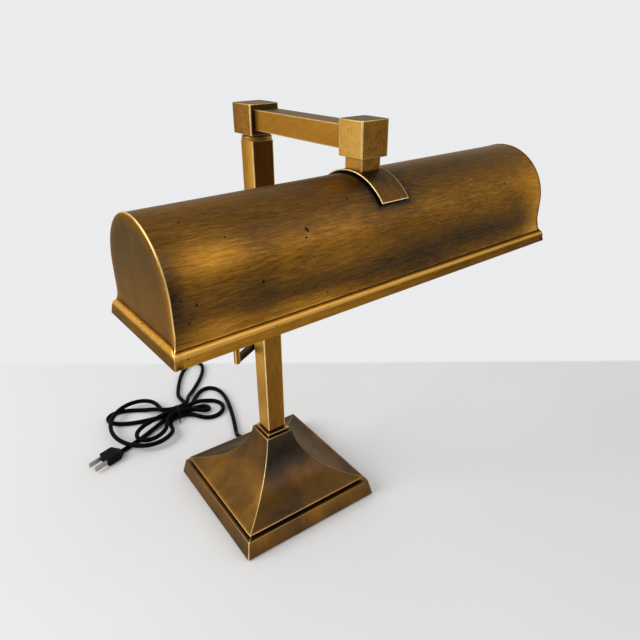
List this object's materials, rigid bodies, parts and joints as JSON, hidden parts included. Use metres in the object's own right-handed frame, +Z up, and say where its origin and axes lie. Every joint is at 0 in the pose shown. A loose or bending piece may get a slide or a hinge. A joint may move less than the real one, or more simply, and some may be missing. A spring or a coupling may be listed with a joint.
{
  "type": "desk lamp",
  "caption": "Desk lamp with a long domed metal shade on a swinging square arm, a square column and a flared square base with a cord, for lighting a writing desk",
  "frame": {"origin": "middle of the base's underside, on the table", "axes": "+Z up along the column; -Y towards the user, the way the arm points at rest but for a small swing; +X along the shade to the user's right"},
  "size_m": [0.3619, 0.5159, 0.4327],
  "materials": {
    "bronze": "hand-rubbed antique bronze over brass, worn bright on the edges",
    "plain_brass": "plain brass, lightly tarnished",
    "steel": "zinc plated",
    "iron": "as cast",
    "felt": "felt",
    "cord_rubber": "smooth satin",
    "socket_plastic": "moulded",
    "dark_metal": "blackened",
    "bulb_metal": "bright",
    "bulb_glass": "frosted"
  },
  "bodies": {
    "stand": {"base_felt": "felt", "base_plate": "steel", "plate_screws": "steel", "base_weight": "iron", "base_skirt": "bronze", "base_crown": "bronze", "neck_collar": "bronze", "base_pipe": "plain_brass", "base_nut": "steel", "base_washer": "steel", "column": "bronze", "column_head": "bronze", "swivel_ring": "bronze", "swivel_post": "plain_brass", "swivel_washer": "steel", "swivel_nut": "steel", "lower_wire": "cord_rubber", "upper_wire": "cord_rubber", "switch_body": "socket_plastic", "switch_bush": "plain_brass", "switch_nut": "plain_brass", "cord_bushing": "cord_rubber", "cord_lead": "cord_rubber", "cord_hank": "cord_rubber", "hank_tie": "cord_rubber", "plug_body": "cord_rubber", "plug_blades": "plain_brass"},
    "arm": {"rear_block": "bronze", "rear_cover": "bronze", "arm_tube": "bronze", "arm_wire": "cord_rubber", "front_block": "bronze", "front_cover": "bronze"},
    "shade": {"shade_neck": "bronze", "shade_post": "plain_brass", "post_washer": "steel", "post_nut": "steel", "saddle_strap": "bronze", "inner_saddle": "steel", "shade_nut": "steel", "shade_barrel": "bronze", "end_cap_left": "bronze", "end_cap_right": "bronze", "front_rail": "bronze", "back_rail": "bronze", "socket_cluster": "socket_plastic", "socket_left": "socket_plastic", "socket_right": "socket_plastic", "bulb_cap_left": "bulb_metal", "bulb_cap_right": "bulb_metal", "bulb_left": "bulb_glass", "bulb_right": "bulb_glass"},
    "switch": {"switch_spindle": "steel", "switch_lever": "dark_metal", "switch_grip": "plain_brass"}
  },
  "joints": [
    {"name": "arm_swing", "type": "hinge", "parent": "stand", "child": "arm", "pos_m": [0, 0, 0.4072], "axis": [0, 0, 1], "range_deg": [-170, 170]},
    {"name": "shade_swivel", "type": "hinge", "parent": "arm", "child": "shade", "pos_m": [0.00687, -0.14043, 0.4072], "axis": [0, 0, 1], "range_deg": [-60, 60]},
    {"name": "switch_turn", "type": "hinge", "parent": "stand", "child": "switch", "pos_m": [0, 0.0181, 0.1888], "axis": [0, 1, 0], "range_deg": [0, 55]}
  ]
}
